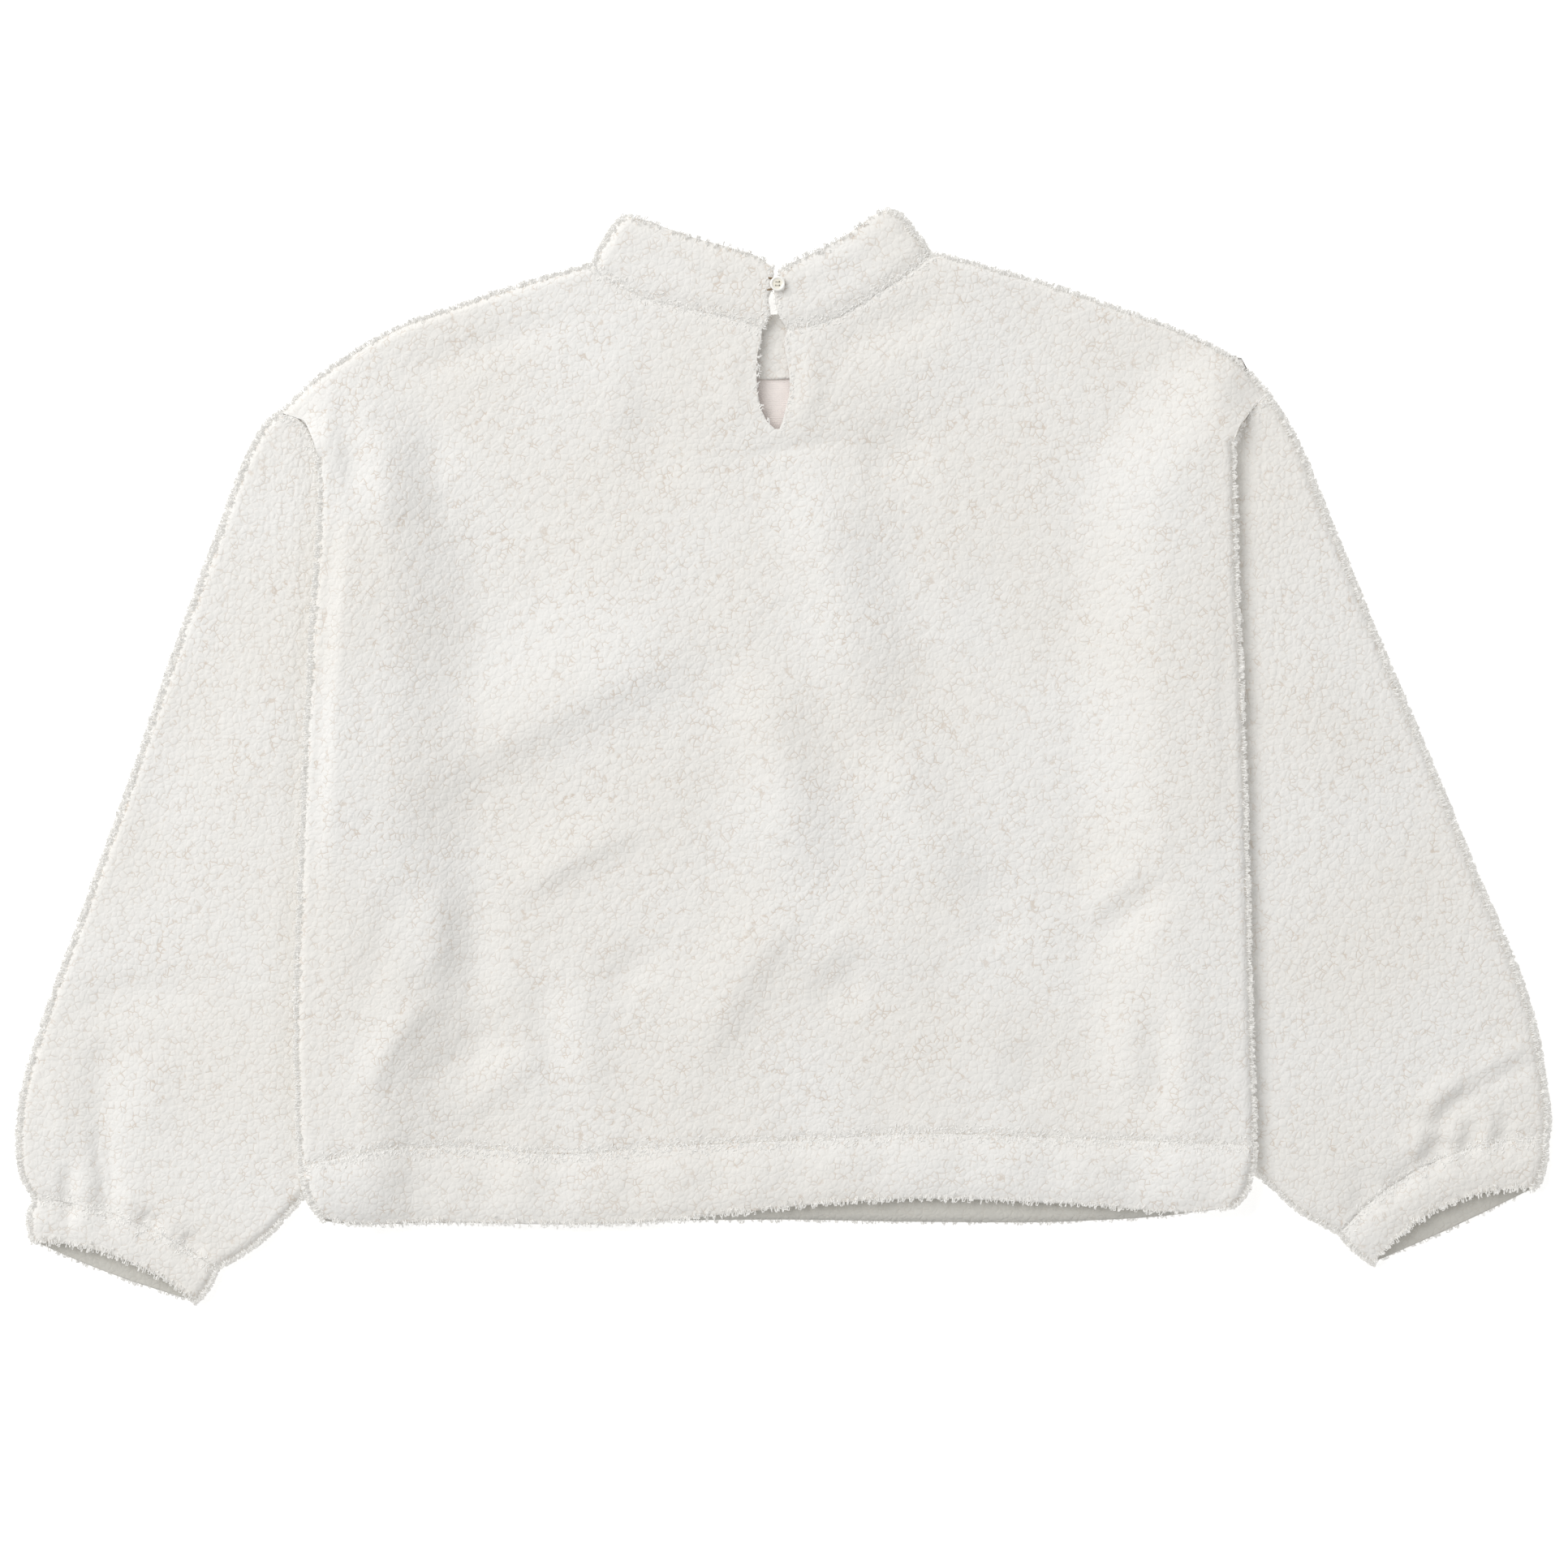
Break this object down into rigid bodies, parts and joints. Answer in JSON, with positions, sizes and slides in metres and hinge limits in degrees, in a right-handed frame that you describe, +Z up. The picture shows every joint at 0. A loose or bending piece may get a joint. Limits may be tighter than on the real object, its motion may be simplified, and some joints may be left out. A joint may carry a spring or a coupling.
{
  "type": "sherpa pullover sweatshirt, laid flat",
  "caption": "Oversized curly-pile pullover laid out flat with its back up: stand collar with a keyhole and loop button, balloon sleeves, gathered cuffs and a wide hem band.",
  "frame": {"origin": "on the surface that the pullover lies on, under the middle of its box", "axes": "+X across the garment towards the right of the picture, +Y from the hem to the collar, +Z up, out of the surface and out of its back"},
  "size_m": [0.979, 0.6987, 0.0257],
  "materials": {
    "pile_fleece": "cream sherpa fleece: dense small curls about 4 mm across on a knitted base, matt and soft, with a slight warm tint between the curls",
    "button_plastic": "pale translucent shirt button, glossy, warmer in the middle",
    "loop_cord": "thin tan covered thread"
  },
  "bodies": {
    "root": {"back_panel": "pile_fleece", "front_panel": "pile_fleece", "sleeve_left": "pile_fleece", "sleeve_right": "pile_fleece", "cuff_left": "pile_fleece", "cuff_right": "pile_fleece", "collar": "pile_fleece", "hem_band": "pile_fleece", "button": "button_plastic", "button_loop": "loop_cord"}
  },
  "joints": []
}
